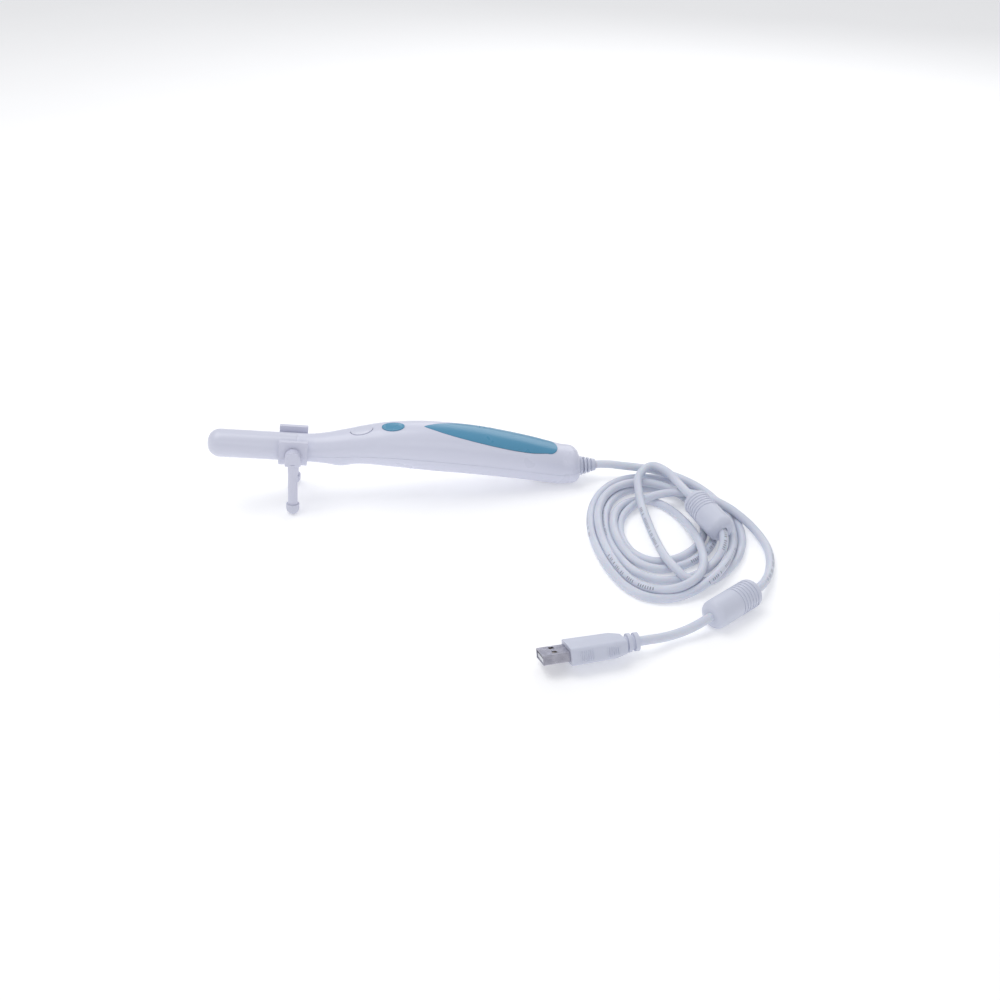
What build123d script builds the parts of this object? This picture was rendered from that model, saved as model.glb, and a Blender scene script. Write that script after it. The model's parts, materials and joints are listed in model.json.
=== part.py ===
from build123d import *
import math
import os

os.makedirs("parts", exist_ok=True)

# ---------------------------------------------------------------------------
# Intraoral camera: slim barrel, swelling handle, clip-on rest with two legs,
# USB lead with two ferrite chokes.  Millimetres, +Z up.
# +X runs from the barrel tip to the cable exit, floor at z = 0.
# ---------------------------------------------------------------------------

# handpiece frame
PITCH = 7.7            # nose-up tilt of the barrel axis, degrees
ROLL = 9.0             # roll of the handpiece in its rest, top towards -Y
TIP_X, TIP_Y, TIP_Z = -101.7, 0.5, 36.95

# barrel
BARREL_R = 7.30
BARREL_WALL = 1.0
BARREL_END = 45.0      # rear shoulder of the barrel, from the tip
SPIGOT_R = 6.0
SPIGOT_LEN = 7.0
TIP_EDGE_R = 6.3

# handle
WALL = 1.8
TAIL_X = 92.9          # vertical end face of the handle
GAP = 0.10             # assembly gap between casing parts
INLAY_T = 1.1          # thickness of the inlaid panel

# keys
KEY_S = 86.0           # middle of the key group, from the tip
KEY_TILT = 12.2        # slope of the key plane
KEY_PITCH = 8.2        # half distance between the two keys
KEY_L, KEY_W = 11.6, 6.6
KEY_TRAVEL = 0.5

# rest clip
CLIP_S = 43.4          # middle of the clip, from the tip
CLIP_LEN = 14.7
CLIP_R_IN = 7.42
CLIP_R_OUT = 9.6
CLIP_TOP = 7.8
PIVOT_UP = 0.3         # leg pivot above the barrel axis
HEAD_R = 4.05
HEAD_T = 4.6
LEG_R = 2.5
FOOT_R = 3.4
FOOT_Y = 15.0
LEG_LEAN = 5.0         # legs lean towards the tip, degrees

# cable
CABLE_D = 4.3
CABLE_R = CABLE_D / 2
COIL_H = 12.9
FERRITE_R = 7.0
FERRITE_LEN = 30.0

# plug
PLUG_W, PLUG_H, PLUG_L = 16.0, 8.0, 26.0
SHELL_W, SHELL_H, SHELL_L = 12.0, 4.5, 12.2
PLUG_ROLL = 22.0

p = math.radians(PITCH)
r_ = math.radians(ROLL)
TIP = Vector(TIP_X, TIP_Y, TIP_Z)
AX = Vector(math.cos(p), 0, -math.sin(p))
UP0 = Vector(math.sin(p), 0, math.cos(p))
SIDE0 = Vector(0, 1, 0)
UPV = UP0 * math.cos(r_) - SIDE0 * math.sin(r_)
SIDE = SIDE0 * math.cos(r_) + UP0 * math.sin(r_)


def hp(s, y=0.0, w=0.0):
    """Point in the handpiece frame: s along the axis, y across, w up."""
    return TIP + AX * s + SIDE * y + UPV * w


def section(s):
    """Plane across the handpiece; local x across, local y up."""
    return Plane(origin=hp(s), x_dir=SIDE, z_dir=AX)


def plan(w=0.0):
    """Plan plane; local x along the axis, local y across."""
    return Plane(origin=hp(0, 0, w), x_dir=AX, z_dir=UPV)


def flank(y=0.0):
    """Side plane; local x along the axis, local y up, normal to -side."""
    return Plane(origin=hp(0, y, 0), x_dir=AX, z_dir=-SIDE)


# stations of the handle: s, centre height, half width, top, bottom, exponent
ST = [
    (33.0, 0.00, 7.30, 7.30, 7.30, 2.00),
    (39.0, 0.00, 7.30, 7.30, 7.30, 2.00),
    (45.0, 0.00, 7.30, 7.30, 7.30, 2.00),
    (50.0, 0.00, 7.30, 7.30, 7.30, 2.00),
    (54.0, 0.05, 7.46, 7.48, 7.42, 2.04),
    (59.0, 0.35, 7.82, 8.05, 7.85, 2.08),
    (63.0, 0.75, 8.15, 8.55, 8.80, 2.12),
    (66.5, 1.20, 8.50, 9.00, 10.10, 2.16),
    (70.0, 1.90, 8.85, 9.25, 10.20, 2.20),
    (73.5, 2.70, 9.22, 9.55, 9.55, 2.20),
    (78.0, 3.70, 9.75, 9.88, 9.49, 2.20),
    (84.0, 4.70, 10.40, 10.51, 10.28, 2.20),
    (90.0, 5.30, 11.05, 11.20, 11.12, 2.20),
    (98.0, 5.65, 11.70, 11.80, 11.75, 2.22),
    (108.0, 5.80, 12.35, 12.52, 12.36, 2.25),
    (120.0, 5.60, 12.70, 12.72, 12.62, 2.25),
    (132.0, 5.15, 12.72, 12.75, 12.50, 2.25),
    (144.0, 4.15, 12.42, 12.47, 12.30, 2.25),
    (156.0, 2.80, 11.98, 12.01, 11.80, 2.25),
    (168.0, 1.20, 11.40, 11.45, 11.20, 2.28),
    (178.0, -0.40, 10.85, 10.88, 10.70, 2.30),
    (185.5, -1.55, 10.42, 10.45, 10.35, 2.32),
]


def ring(a, wc, bt, bb, n, count=24):
    """Closed superellipse outline in the current BuildLine."""
    pts = []
    for k in range(count):
        t = 2 * math.pi * (k + 0.5) / count
        c, s = math.cos(t), math.sin(t)
        x = a * math.copysign(abs(c) ** (2 / n), c)
        y = wc + (bt if s >= 0 else bb) * math.copysign(abs(s) ** (2 / n), s)
        pts.append((x, y))
    Spline(*pts, periodic=True)


def tail_section(grow, dx=0.0):
    """Section square to the floor, at the rear face."""
    pl = Plane(origin=(TAIL_X + dx, 0.3, 9.35), x_dir=(0, 1, 0), z_dir=(1, 0, 0))
    return pl, (9.95 + grow, 0.0, 9.95 + grow, 9.2 + grow, 2.32)


def wall_at(s):
    return 1.25 if s <= 54 else min(WALL, 1.25 + (s - 54) * 0.09)


# ---- construction bodies: outer skin, mid surface, proud surface, cavity ----
with BuildPart() as skin:
    for s, wc, a, bt, bb, n in ST:
        with BuildSketch(section(s)):
            with BuildLine():
                ring(a, wc, bt, bb, n)
            make_face()
    pl, pts = tail_section(0.0)
    with BuildSketch(pl):
        with BuildLine():
            ring(*pts)
        make_face()
    loft()
    rear = skin.faces().filter_by(Axis.X).sort_by(Axis.X)[-1]
    fillet(rear.edges(), radius=5.0)
    # the neck starts at the shoulder of the barrel
    with BuildSketch(section(20.0)):
        Rectangle(60, 60)
    extrude(amount=BARREL_END - 20.0, mode=Mode.SUBTRACT)

with BuildPart() as mid_body:
    for s, wc, a, bt, bb, n in ST[10:]:
        with BuildSketch(section(s)):
            with BuildLine():
                ring(a - INLAY_T, wc, bt - INLAY_T, bb - INLAY_T, n)
            make_face()
    loft()

with BuildPart() as proud_body:
    for s, wc, a, bt, bb, n in ST[7:15]:
        with BuildSketch(section(s)):
            with BuildLine():
                ring(a + 0.45, wc, bt + 0.45, bb + 0.45, n)
            make_face()
    loft()

with BuildPart() as cavity:
    for s, wc, a, bt, bb, n in ST:
        g = wall_at(s)
        bbi = bb - g
        if 60 < s < 75:                       # no hollow in the finger ridge
            bbi = min(bbi, 6.9)
        with BuildSketch(section(s)):
            with BuildLine():
                ring(a - g, wc, bt - g, bbi, n)
            make_face()
    pl, pts = tail_section(-WALL - 0.8, -2.2)
    with BuildSketch(pl):
        with BuildLine():
            ring(*pts)
        make_face()
    loft()

# parting surface: everything above the curve along the flank
PARTING = [(40.0, 0.0), (60.0, 0.3), (78.0, 3.4), (96.0, 5.2), (120.0, 5.2),
           (144.0, 3.8), (168.0, 0.9), (184.0, -1.2), (200.0, -1.7)]
with BuildPart() as above:
    with BuildSketch(flank(0)):
        with BuildLine():
            Spline(*PARTING)
            Polyline(PARTING[-1], (200.0, 40.0), (40.0, 40.0), PARTING[0])
        make_face()
    extrude(amount=30, both=True)
with BuildPart() as below:
    with BuildSketch(flank(0)):
        with BuildLine():
            Spline(*[(a_, b_ - GAP) for a_, b_ in PARTING])
            Polyline((200.0, -1.7 - GAP), (200.0, -40.0), (40.0, -40.0), (40.0, -GAP))
        make_face()
    extrude(amount=30, both=True)

# ---- inlay outline in plan --------------------------------------------------
INLAY = [(110.0, 0.0), (113.5, 1.75), (118.0, 3.55), (125.0, 5.45), (134.0, 6.95),
         (143.5, 7.75), (153.0, 8.05), (162.0, 7.9), (170.0, 7.25), (176.7, 5.95),
         (181.0, 3.7), (182.7, 0.0)]


def inlay_sketch(grow):
    pts = []
    n = len(INLAY)
    for i, (a_, b_) in enumerate(INLAY):
        if i == 0:
            pts.append((a_ - 2.0 * grow, 0.0))
        elif i == n - 1:
            pts.append((a_ + grow, 0.0))
        else:
            da = INLAY[i + 1][0] - INLAY[i - 1][0]
            db = INLAY[i + 1][1] - INLAY[i - 1][1]
            l = math.hypot(da, db)
            pts.append((a_ - db / l * grow, b_ + da / l * grow))
    return pts


def inlay_prism(grow):
    up = inlay_sketch(grow)
    with BuildPart() as b:
        with BuildSketch(plan(4.0)):
            with BuildLine():
                Spline(*up, tangents=[(0.35, 1.0), (0.0, -1.0)], tangent_scalars=[0.4, 1.0])
                Spline(*[(x, -y) for x, y in reversed(up)],
                       tangents=[(0.0, -1.0), (-0.35, 1.0)], tangent_scalars=[1.0, 0.4])
            make_face()
        extrude(amount=24)
    return b


inlay_cut = inlay_prism(0.10)
inlay_body = inlay_prism(0.0)

# ---- key planes -------------------------------------------------------------
kt = math.radians(KEY_TILT)
KX = AX * math.cos(kt) + UPV * math.sin(kt)
KZ = UPV * math.cos(kt) - AX * math.sin(kt)
KEY_O = hp(KEY_S, 0, 15.3)


def key_plane(dx, z):
    return Plane(origin=KEY_O + KX * dx + KZ * z, x_dir=KX, z_dir=KZ)


# =============================== barrel =====================================
WIN_S = 11.6
with BuildPart() as probe_barrel:
    rr = BARREL_R
    ri = BARREL_R - BARREL_WALL
    with BuildSketch(flank(0)):
        with BuildLine():
            a1 = Line((0, 0), (0, rr - TIP_EDGE_R))
            a2 = TangentArc((0, rr - TIP_EDGE_R), (TIP_EDGE_R, rr), tangent=(0, 1))
            Polyline((TIP_EDGE_R, rr), (BARREL_END, rr), (BARREL_END, SPIGOT_R),
                     (BARREL_END + SPIGOT_LEN, SPIGOT_R), (BARREL_END + SPIGOT_LEN, 4.9),
                     (BARREL_END - 2, 4.9), (BARREL_END - 3.5, ri), (5.6, ri))
            a3 = TangentArc((1.4, ri - 4.0), (5.6, ri), tangent=(0, 1))
            Polyline((1.4, ri - 4.0), (1.4, 0), (0, 0))
        make_face()
    revolve(axis=Axis(hp(0), AX), revolution_arc=360)
    # window bore in the underside
    with BuildSketch(Plane(origin=hp(WIN_S, 0, -9), x_dir=AX, z_dir=UPV)):
        Circle(4.6)
    extrude(amount=5.1, mode=Mode.SUBTRACT)
    # window flat around the bore
probe_barrel.part.label = "probe_barrel"

with BuildPart() as window_glass:
    with BuildSketch(plan(-5.95)):
        with Locations((WIN_S, 0)):
            Circle(4.55)
    extrude(amount=0.8)
    chamfer(window_glass.edges().filter_by(GeomType.CIRCLE).sort_by(Axis.Z)[0], 0.2)
window_glass.part.label = "window_glass"

with BuildPart() as window_seal:
    with BuildSketch(plan(-5.15)):
        with Locations((WIN_S, 0)):
            Circle(4.5)
            Circle(3.6, mode=Mode.SUBTRACT)
    extrude(amount=0.45)
window_seal.part.label = "window_seal"

with BuildPart() as led_board:
    with BuildSketch(plan(-4.05)):
        with Locations((WIN_S, 0)):
            Circle(4.55)
            Circle(2.1, mode=Mode.SUBTRACT)
    extrude(amount=0.6)
led_board.part.label = "led_board"

with BuildPart() as leds:
    with BuildSketch(plan(-4.60)):
        with Locations((WIN_S, 0)):
            with PolarLocations(2.95, 6):
                Rectangle(1.1, 1.3)
    extrude(amount=0.55)
leds.part.label = "leds"

with BuildPart() as lens_holder:
    with BuildSketch(plan(-3.40)):
        with Locations((WIN_S, 0)):
            Rectangle(9.4, 8.4)
    extrude(amount=4.2)
    with BuildSketch(plan(-3.45)):
        with Locations((WIN_S, 0)):
            Circle(2.06)
    extrude(amount=4.4, mode=Mode.SUBTRACT)
    with BuildSketch(plan(-0.5)):
        with Locations((WIN_S, 0)):
            Rectangle(5.4, 5.4)
    extrude(amount=1.5, mode=Mode.SUBTRACT)
lens_holder.part.label = "lens_holder"

with BuildPart() as lens_barrel:
    with BuildSketch(plan(-4.45)):
        with Locations((WIN_S, 0)):
            Circle(2.03)
    extrude(amount=3.9)
    with BuildSketch(plan(-4.5)):
        with Locations((WIN_S, 0)):
            Circle(1.2)
    extrude(amount=4.1, mode=Mode.SUBTRACT)
lens_barrel.part.label = "lens_barrel"

with BuildPart() as lens_elements:
    for w0, t0 in ((-4.3, 0.7), (-2.9, 0.6), (-1.5, 0.7)):
        with BuildSketch(plan(w0)):
            with Locations((WIN_S, 0)):
                Circle(1.19)
        extrude(amount=t0)
lens_elements.part.label = "lens_elements"

with BuildPart() as image_sensor:
    with BuildSketch(plan(-0.15)):
        with Locations((WIN_S, 0)):
            Rectangle(4.8, 4.8)
    extrude(amount=0.95)
image_sensor.part.label = "image_sensor"

with BuildPart() as sensor_board:
    with BuildSketch(plan(0.80)):
        with Locations((WIN_S, 0)):
            Rectangle(10.6, 9.6)
    extrude(amount=0.8)
sensor_board.part.label = "sensor_board"

BOARD_W = -0.6         # underside of the main board
BOARD_T = 1.2
BOARD_TOP = BOARD_W + BOARD_T
FLEX_T = 0.25
with BuildPart() as flex_cable:
    with BuildSketch(flank(0)):
        with BuildLine():
            Polyline((8.2, 1.6), (19.0, 1.6), (86.0, 1.6), (91.0, 1.05), (93.5, 1.05),
                     (93.5, 1.05 + FLEX_T), (91.0, 1.05 + FLEX_T), (86.0, 1.6 + FLEX_T),
                     (19.0, 1.6 + FLEX_T), (8.2, 1.6 + FLEX_T), close=True)
        make_face()
    extrude(amount=2.5, both=True)
flex_cable.part.label = "flex_cable"

# =============================== main board =================================
BOARD_S0, BOARD_S1 = 91.0, 168.0
BOARD_HALF = 7.0
CASE_SCREW_S = (112.0, 150.0, 178.5)
BOARD_SCREWS = ((100.0, 4.2), (100.0, -4.2), (162.0, 4.2), (162.0, -4.2))
with BuildPart() as main_board:
    with BuildSketch(plan(BOARD_W)):
        with Locations(((BOARD_S0 + BOARD_S1) / 2, 0)):
            RectangleRounded(BOARD_S1 - BOARD_S0, 2 * BOARD_HALF, 1.5)
        with Locations(*[(s, 0) for s in CASE_SCREW_S[:2]]):
            Circle(2.75, mode=Mode.SUBTRACT)
        with Locations(*BOARD_SCREWS):
            Circle(0.95, mode=Mode.SUBTRACT)
    extrude(amount=BOARD_T)
main_board.part.label = "main_board"

with BuildPart() as video_chip:
    with BuildSketch(plan(BOARD_TOP)):
        with Locations((126.0, 0)):
            Rectangle(9.0, 9.0)
    extrude(amount=1.1)
    chamfer(video_chip.edges().filter_by(Axis(hp(0), UPV)), 0.3)
video_chip.part.label = "video_chip"

with BuildPart() as board_components:
    for s_, y_, l_, w_, h_ in ((137.5, 0.0, 6.0, 4.0, 1.2), (118.2, 4.2, 3.2, 2.4, 0.9),
                               (118.2, -4.2, 3.2, 2.4, 0.9), (142.8, 3.4, 2.0, 1.2, 0.8),
                               (142.8, -3.4, 2.0, 1.2, 0.8), (106.4, 2.6, 1.6, 0.8, 0.6),
                               (106.4, -2.6, 1.6, 0.8, 0.6), (132.6, 5.2, 1.6, 0.8, 0.6)):
        with BuildSketch(plan(BOARD_TOP)):
            with Locations((s_, y_)):
                Rectangle(l_, w_)
        extrude(amount=h_)
board_components.part.label = "board_components"

with BuildPart() as flex_connector:
    with BuildSketch(plan(BOARD_TOP)):
        with Locations((95.2, 0)):
            Rectangle(4.0, 7.6)
    extrude(amount=1.5)
    with BuildSketch(plan(1.03)):
        with Locations((93.0, 0)):
            Rectangle(2.2, 5.1)
    extrude(amount=0.30, mode=Mode.SUBTRACT)
flex_connector.part.label = "flex_connector"

with BuildPart() as cable_header:
    with BuildSketch(plan(BOARD_TOP)):
        with Locations((157.0, 0)):
            Rectangle(5.0, 8.0)
    extrude(amount=3.2)
    with BuildSketch(plan(BOARD_TOP + 0.9)):
        with Locations((158.6, 0)):
            Rectangle(3.0, 6.4)
    extrude(amount=1.7, mode=Mode.SUBTRACT)
cable_header.part.label = "cable_header"

# =============================== casing =====================================
shell_raw = skin.part - cavity.part
upper_raw = shell_raw & above.part
lower_raw = shell_raw & below.part
inlay_solid = (inlay_body.part & skin.part) - mid_body.part
inlay_pocket = inlay_cut.part - mid_body.part


def oval(plane, l, w, h, rr=None):
    with BuildPart() as b:
        with BuildSketch(plane):
            Ellipse(l / 2, w / 2)
        extrude(amount=h)
    return b.part


def stadium_hole(plane, l, w, h):
    with BuildPart() as b:
        with BuildSketch(plane):
            Ellipse(l / 2, w / 2)
        extrude(amount=h)
    return b.part


SR_Z = 8.95
SR_PLANE = Plane(origin=(TAIL_X, 0.0, SR_Z), x_dir=(0, 1, 0), z_dir=(1, 0, 0))


def xcyl(x0, x1, rad, y=0.0, z=SR_Z):
    with BuildPart() as b:
        with BuildSketch(Plane(origin=(x0, y, z), x_dir=(0, 1, 0), z_dir=(1, 0, 0))):
            Circle(rad)
        extrude(amount=x1 - x0)
    return b.part


def wcyl(s, y, w0, w1, rad):
    with BuildPart() as b:
        with BuildSketch(plan(w0)):
            with Locations((s, y)):
                Circle(rad)
        extrude(amount=w1 - w0)
    return b.part


with BuildPart() as spigot_bore:
    with BuildSketch(section(BARREL_END - 1.0)):
        Circle(SPIGOT_R + 0.03)
    extrude(amount=SPIGOT_LEN + 1.3)

with BuildPart() as upper_shell:
    add(upper_raw)
    # bosses for the case screws, carried from the roof
    for s_ in CASE_SCREW_S:
        add((wcyl(s_, 0, -1.5 if s_ < 170 else -1.35, 22, 2.3) & cavity.part))
    # pocket for the inlay
    add(inlay_pocket, mode=Mode.SUBTRACT)
    # key openings
    for dx in (-KEY_PITCH, KEY_PITCH):
        add(oval(key_plane(dx, -5), KEY_L + 0.24, KEY_W + 0.24, 9), mode=Mode.SUBTRACT)
    # pilot holes
    for s_ in CASE_SCREW_S:
        add(wcyl(s_, 0, -1.6, 3.6, 0.82), mode=Mode.SUBTRACT)
    # strain relief seat
    add(xcyl(TAIL_X - 6, TAIL_X + 3, 4.05), mode=Mode.SUBTRACT)
    # seat of the barrel's spigot
    add(spigot_bore.part, mode=Mode.SUBTRACT)
upper_shell.part.label = "upper_shell"

with BuildPart() as lower_shell:
    add(lower_raw)
    for s_ in CASE_SCREW_S:
        top = -1.6 if s_ < 170 else -1.45
        add((wcyl(s_, 0, -22, top, 3.0) & skin.part) & below.part)
    for s_, y_ in BOARD_SCREWS:
        add((wcyl(s_, y_, -22, BOARD_W - 0.02, 1.9) & cavity.part))
    for s_ in CASE_SCREW_S:
        add(wcyl(s_, 0, -22, 0, 1.05), mode=Mode.SUBTRACT)
        add(wcyl(s_, 0, -22, -4.6 if s_ < 170 else -6.2, 1.95), mode=Mode.SUBTRACT)
    for s_, y_ in BOARD_SCREWS:
        add(wcyl(s_, y_, -4.2, 0, 0.62), mode=Mode.SUBTRACT)
    add(xcyl(TAIL_X - 6, TAIL_X + 3, 4.05), mode=Mode.SUBTRACT)
    add(spigot_bore.part, mode=Mode.SUBTRACT)
lower_shell.part.label = "lower_shell"

with BuildPart() as grip_inlay:
    add(inlay_solid)
grip_inlay.part.label = "grip_inlay"

# screws: pan heads in the counterbores
with BuildPart() as case_screws:
    for s_ in CASE_SCREW_S:
        w_head = -4.6 if s_ < 170 else -6.2
        add(wcyl(s_, 0, w_head - 1.2, w_head, 1.75))
        add(wcyl(s_, 0, w_head, 3.2 if s_ < 170 else 3.2, 0.82))
    for s_ in CASE_SCREW_S:
        w_head = -4.6 if s_ < 170 else -6.2
        add(wcyl(s_, 0, w_head - 1.3, w_head - 0.6, 0.55), mode=Mode.SUBTRACT)
case_screws.part.label = "case_screws"

with BuildPart() as board_screws:
    for s_, y_ in BOARD_SCREWS:
        add(wcyl(s_, y_, BOARD_TOP, BOARD_TOP + 0.9, 1.5))
        add(wcyl(s_, y_, -3.6, BOARD_TOP, 0.62))
    for s_, y_ in BOARD_SCREWS:
        add(wcyl(s_, y_, BOARD_TOP + 0.4, BOARD_TOP + 1.0, 0.45), mode=Mode.SUBTRACT)
board_screws.part.label = "board_screws"

# =============================== keys =======================================
KB_Z = -7.4


def make_key(dx):
    cap = oval(key_plane(dx, -3.1), KEY_L, KEY_W, 8.5) & proud_body.part
    with BuildPart() as b:
        add(cap)
        with BuildSketch(key_plane(dx, -3.7)):
            Ellipse(KEY_L / 2 + 0.7, KEY_W / 2 + 0.8)
        extrude(amount=0.7)
        with BuildSketch(key_plane(dx, -4.3)):
            Circle(1.6)
        extrude(amount=0.7)
    return b.part


with BuildPart() as capture_key:
    add(make_key(KEY_PITCH))
capture_key.part.label = "capture_key"

with BuildPart() as mode_key:
    add(make_key(-KEY_PITCH))
mode_key.part.label = "mode_key"


def make_plunger(dx):
    with BuildPart() as b:
        with BuildSketch(key_plane(dx, -5.4)):
            Circle(0.9)
        extrude(amount=1.1)
    return b.part


with BuildPart() as capture_plunger:
    add(make_plunger(KEY_PITCH))
capture_plunger.part.label = "capture_plunger"
with BuildPart() as mode_plunger:
    add(make_plunger(-KEY_PITCH))
mode_plunger.part.label = "mode_plunger"

with BuildPart() as switch_bodies:
    for dx in (-KEY_PITCH, KEY_PITCH):
        with BuildSketch(key_plane(dx, KB_Z)):
            Rectangle(4.6, 4.6)
        extrude(amount=2.5)
    for dx in (-KEY_PITCH, KEY_PITCH):
        with BuildSketch(key_plane(dx, KB_Z + 0.7)):
            Circle(0.97)
        extrude(amount=2.0, mode=Mode.SUBTRACT)
switch_bodies.part.label = "switch_bodies"

with BuildPart() as key_board:
    with BuildSketch(key_plane(0.6, KB_Z - 1.0)):
        RectangleRounded(26.0, 9.0, 1.0)
    extrude(amount=1.0)
key_board.part.label = "key_board"

# =============================== cable exit =================================
with BuildPart() as strain_relief:
    with BuildSketch(Plane.XZ):
        with BuildLine():
            Polyline((TAIL_X - 4.6, SR_Z + CABLE_R), (TAIL_X - 4.6, SR_Z + 4.9),
                     (TAIL_X - 2.3, SR_Z + 4.9), (TAIL_X - 2.3, SR_Z + 4.0),
                     (TAIL_X + 0.05, SR_Z + 4.0), (TAIL_X + 0.05, SR_Z + 5.2),
                     (TAIL_X + 1.6, SR_Z + 5.0), (TAIL_X + 1.6, SR_Z + 3.2),
                     (TAIL_X + 2.5, SR_Z + 3.2), (TAIL_X + 2.5, SR_Z + 4.7),
                     (TAIL_X + 3.7, SR_Z + 4.45), (TAIL_X + 3.7, SR_Z + 3.0),
                     (TAIL_X + 4.6, SR_Z + 3.0), (TAIL_X + 4.6, SR_Z + 4.2),
                     (TAIL_X + 5.8, SR_Z + 3.9), (TAIL_X + 5.8, SR_Z + 2.85),
                     (TAIL_X + 6.7, SR_Z + 2.85), (TAIL_X + 6.7, SR_Z + 3.6),
                     (TAIL_X + 8.8, SR_Z + 3.1), (TAIL_X + 8.8, SR_Z + CABLE_R), close=True)
        make_face()
    revolve(axis=Axis((0, 0, SR_Z), (1, 0, 0)), revolution_arc=360)
strain_relief.part.label = "strain_relief"
SR_END_X = TAIL_X + 8.8

with BuildPart() as cable_core:
    with BuildSketch(Plane(origin=(SR_END_X, 0, SR_Z), x_dir=(0, 1, 0), z_dir=(-1, 0, 0))):
        Circle(CABLE_R - 0.02)
    extrude(amount=23.0)
cable_core.part.label = "cable_core"

with BuildPart() as cable_clamp:
    with BuildSketch(Plane(origin=(TAIL_X - 8.9, 0, SR_Z), x_dir=(0, 1, 0), z_dir=(1, 0, 0))):
        RectangleRounded(10.0, 7.2, 1.2)
        Circle(CABLE_R, mode=Mode.SUBTRACT)
    extrude(amount=3.4)
cable_clamp.part.label = "cable_clamp"

# =============================== rest clip ==================================
CLIP_C = TIP + AX * CLIP_S
CLIP_PLANE0 = Plane(origin=CLIP_C - AX * (CLIP_LEN / 2), x_dir=SIDE0, z_dir=AX)
PIV = CLIP_C + UP0 * PIVOT_UP
with BuildPart() as clip_saddle:
    with BuildSketch(CLIP_PLANE0):
        with BuildLine():
            Polyline((-CLIP_R_OUT, 0), (-CLIP_R_OUT, CLIP_TOP), (-CLIP_R_IN, CLIP_TOP),
                     (-CLIP_R_IN + 0.45, 5.6), (-CLIP_R_IN, 4.2), (-CLIP_R_IN, 0))
            RadiusArc((-CLIP_R_IN, 0), (0, -CLIP_R_IN), -CLIP_R_IN)
            RadiusArc((0, -CLIP_R_IN), (CLIP_R_IN, 0), -CLIP_R_IN)
            Polyline((CLIP_R_IN, 0), (CLIP_R_IN, 4.2), (CLIP_R_IN - 0.45, 5.6),
                     (CLIP_R_IN, CLIP_TOP), (CLIP_R_OUT, CLIP_TOP), (CLIP_R_OUT, 0))
            RadiusArc((CLIP_R_OUT, 0), (0, -CLIP_R_OUT), CLIP_R_OUT)
            RadiusArc((0, -CLIP_R_OUT), (-CLIP_R_OUT, 0), CLIP_R_OUT)
        make_face()
    extrude(amount=CLIP_LEN)
    # pivot holes through both cheeks
    with BuildSketch(Plane(origin=PIV - SIDE0 * 12, x_dir=AX, z_dir=SIDE0)):
        Circle(1.80)
    extrude(amount=24, mode=Mode.SUBTRACT)
    fillet(clip_saddle.edges().filter_by(GeomType.LINE).filter_by(Axis.Y).group_by(Axis.Z)[-1], 0.3)
clip_saddle.part.label = "clip_saddle"

lean = math.radians(LEG_LEAN)
LEG_DOWN = Vector(-math.sin(lean), 0, -math.cos(lean))
LEG_FWD = Vector(-math.cos(lean), 0, math.sin(lean))
HEAD_Y0 = CLIP_R_OUT + 0.2             # inner face of the leg head
ROD_TOP_Y = HEAD_Y0 + LEG_R + 0.05
FOOT_Z = 3.3


def leg_pieces(sgn):
    """One leg (head, stub, rod) and its foot; sgn -1 near side, +1 far side."""
    origin = Vector(PIV.X, TIP_Y + sgn * HEAD_Y0, PIV.Z)
    # foot centre: along the lean, at the foot height
    k = (PIV.Z - FOOT_Z) / math.cos(lean)
    foot_c = Vector(PIV.X - k * math.sin(lean), TIP_Y + sgn * FOOT_Y, FOOT_Z)
    rod_top = Vector(PIV.X, TIP_Y + sgn * ROD_TOP_Y, PIV.Z) + LEG_DOWN * 3.4
    d = (foot_c - rod_top)
    rod_len = d.length
    d = d.normalized()
    head_plane = Plane(origin=origin, x_dir=LEG_FWD, z_dir=Vector(0, sgn, 0))
    # local y of head_plane points up or down depending on side
    down = -1 if head_plane.y_dir.dot(LEG_DOWN) < 0 else 1
    with BuildPart() as leg:
        with BuildSketch(head_plane):
            Circle(HEAD_R)
            with Locations((0, down * 2.1)):
                Rectangle(2 * HEAD_R, 4.2)
        extrude(amount=HEAD_T)
        fillet(leg.faces().filter_by(Axis.Y).sort_by(Axis.Y)[0 if sgn < 0 else -1].edges(), 0.6)
        with BuildSketch(Plane(origin=rod_top, x_dir=Vector(1, 0, 0).cross(d), z_dir=d)):
            Circle(LEG_R)
        extrude(amount=rod_len - 2.6)
        with BuildSketch(Plane(origin=rod_top, x_dir=Vector(1, 0, 0).cross(d), z_dir=d)):
            Circle(1.5)
        extrude(amount=rod_len + 0.8)
        # pivot stub
        with BuildSketch(Plane(origin=origin, x_dir=LEG_FWD, z_dir=Vector(0, -sgn, 0))):
            Circle(1.75)
        extrude(amount=2.3)
    with BuildPart() as foot:
        with BuildSketch(Plane(origin=foot_c - d * 2.3, x_dir=Vector(1, 0, 0).cross(d), z_dir=d)):
            Circle(FOOT_R)
        extrude(amount=2.3)
        add(Location(foot_c) * Sphere(FOOT_R, mode=Mode.PRIVATE))
        add(leg.part, mode=Mode.SUBTRACT)
        split(bisect_by=Plane.XY, keep=Keep.TOP)
        fillet(foot.edges().filter_by(GeomType.CIRCLE).sort_by(Axis.Z)[-1], 0.4)
    return leg.part, foot.part


near = leg_pieces(-1)
far = leg_pieces(1)
with BuildPart() as leg_near:
    add(near[0])
leg_near.part.label = "leg_near"
with BuildPart() as foot_near:
    add(near[1])
foot_near.part.label = "foot_near"
with BuildPart() as leg_far:
    add(far[0])
leg_far.part.label = "leg_far"
with BuildPart() as foot_far:
    add(far[1])
foot_far.part.label = "foot_far"

# =============================== cable ======================================


def arc_radii(pts):
    out = []
    for a_, b_, c_ in zip(pts, pts[1:], pts[2:]):
        u, v = Vector(*b_) - Vector(*a_), Vector(*c_) - Vector(*b_)
        turn = math.radians(u.get_angle(v))
        out.append(0.45 * min(u.length, v.length) / math.tan(turn / 2))
    return out


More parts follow.
